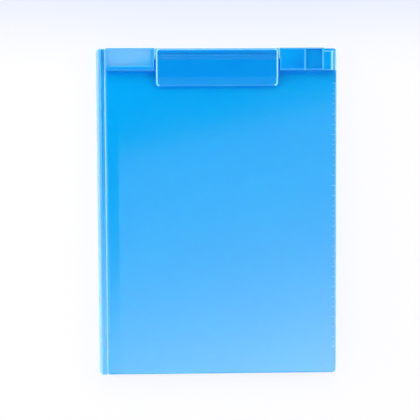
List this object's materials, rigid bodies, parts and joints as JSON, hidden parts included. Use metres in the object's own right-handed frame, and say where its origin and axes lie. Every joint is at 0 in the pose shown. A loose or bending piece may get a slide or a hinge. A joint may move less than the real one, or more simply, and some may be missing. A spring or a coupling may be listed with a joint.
{
  "type": "storage clipboard box",
  "caption": "Plastic storage clipboard: a writing board with a spring clip and pen loop is the lid of a shallow paper box that opens like a book.",
  "frame": {"origin": "centre of the bounding box's bottom face; the box lies closed on its back", "axes": "+X from the spine to the ruler edge, +Y up the page to the clip, +Z out of the writing board"},
  "size_m": [0.235, 0.32, 0.029],
  "materials": {
    "azure_shell": "satin moulded",
    "azure_clip": "satin moulded",
    "steel": "bright drawn wire",
    "soft_jaw": "matt"
  },
  "bodies": {
    "box": {"tray": "azure_shell"},
    "spine": {"spine": "azure_shell", "spine_end_caps": "azure_shell", "rear_hinge_web": "azure_shell"},
    "lid": {"board": "azure_shell", "front_hinge_web": "azure_shell", "top_rail": "azure_shell", "rail_rivets": "azure_shell", "clip_pin": "steel", "clip_spring_left": "steel", "clip_spring_right": "steel"},
    "clip": {"clip_plate": "azure_clip", "jaw_strip": "soft_jaw"}
  },
  "joints": [
    {"name": "spine_hinge", "type": "hinge", "parent": "box", "child": "spine", "pos_m": [-0.11685, 0, 0.00065], "axis": [0, -1, 0], "range_deg": [0, 90], "deforming": ["rear_hinge_web"]},
    {"name": "lid_hinge", "type": "hinge", "parent": "spine", "child": "lid", "pos_m": [-0.1088, 0, 0.01865], "axis": [0, -1, 0], "range_deg": [0, 90], "deforming": ["front_hinge_web"]},
    {"name": "clip_pivot", "type": "hinge", "parent": "lid", "child": "clip", "pos_m": [0, 0.1546, 0.02515], "axis": [-1, 0, 0], "range_deg": [0, 60], "stiffness_Nm_per_rad": 0.25, "springref_deg": -68.75, "deforming": ["clip_spring_left", "clip_spring_right"]}
  ]
}
